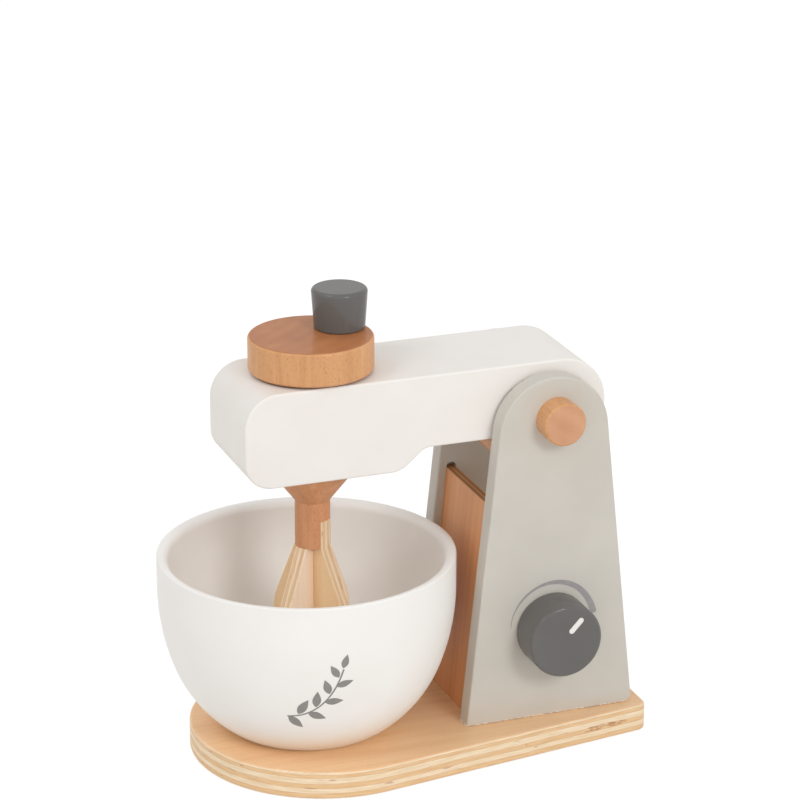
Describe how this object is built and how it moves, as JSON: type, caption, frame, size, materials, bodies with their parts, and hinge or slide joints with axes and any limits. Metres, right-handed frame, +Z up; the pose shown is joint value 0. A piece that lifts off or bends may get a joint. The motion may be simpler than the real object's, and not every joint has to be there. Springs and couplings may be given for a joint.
{
  "type": "toy stand mixer",
  "caption": "Wooden toy stand mixer: a tilting head with a hand-cranked whisk over a loose bowl, on a tower with a turning dial and a rounded base.",
  "frame": {"origin": "middle of the base plate's underside", "axes": "+Z up, +X from the bowl to the tower, +Y to the side without the dial"},
  "size_m": [0.2186, 0.1348, 0.2155],
  "materials": {
    "birch_ply": "bare sanded plywood",
    "beech": "oiled",
    "white_paint": "matt painted",
    "grey_paint": "matt painted",
    "dark_paint": "satin painted",
    "steel": "zinc plated",
    "fibre": "dull"
  },
  "bodies": {
    "tower": {"base_plate": "birch_ply", "dial_side_panel": "grey_paint", "plain_side_panel": "grey_paint", "spine_panel": "birch_ply", "stop_dowel": "beech", "pivot_dowel": "beech", "dial_side_washer": "beech", "plain_side_washer": "beech", "panel_screws": "steel"},
    "head": {"head_arm": "white_paint", "upper_spin_washer": "fibre"},
    "whisk": {"crank_disc": "beech", "crank_knob": "dark_paint", "crank_pin": "beech", "drive_spindle": "beech", "spindle_collar": "beech", "lower_spin_washer": "fibre", "long_whisk_blade": "birch_ply", "cross_whisk_blade": "birch_ply"},
    "dial": {"dial_knob": "dark_paint", "dial_axle": "beech", "dial_retainer": "beech"},
    "bowl": {"bowl": "white_paint"}
  },
  "joints": [
    {"name": "head_tilt", "type": "hinge", "parent": "tower", "child": "head", "pos_m": [0.05675, 0, 0.1573], "axis": [0, 1, 0], "range_deg": [0, 75]},
    {"name": "whisk_spin", "type": "hinge", "parent": "head", "child": "whisk", "pos_m": [-0.0456, 0, 0.15], "axis": [0, 0, 1], "continuous": true},
    {"name": "dial_turn", "type": "hinge", "parent": "tower", "child": "dial", "pos_m": [0.05585, -0.037, 0.0564], "axis": [0, -1, 0], "continuous": true},
    {"name": "bowl_lift", "type": "slide", "parent": "tower", "child": "bowl", "axis": [0, 0, 1], "range_m": [0, 0.007]}
  ]
}
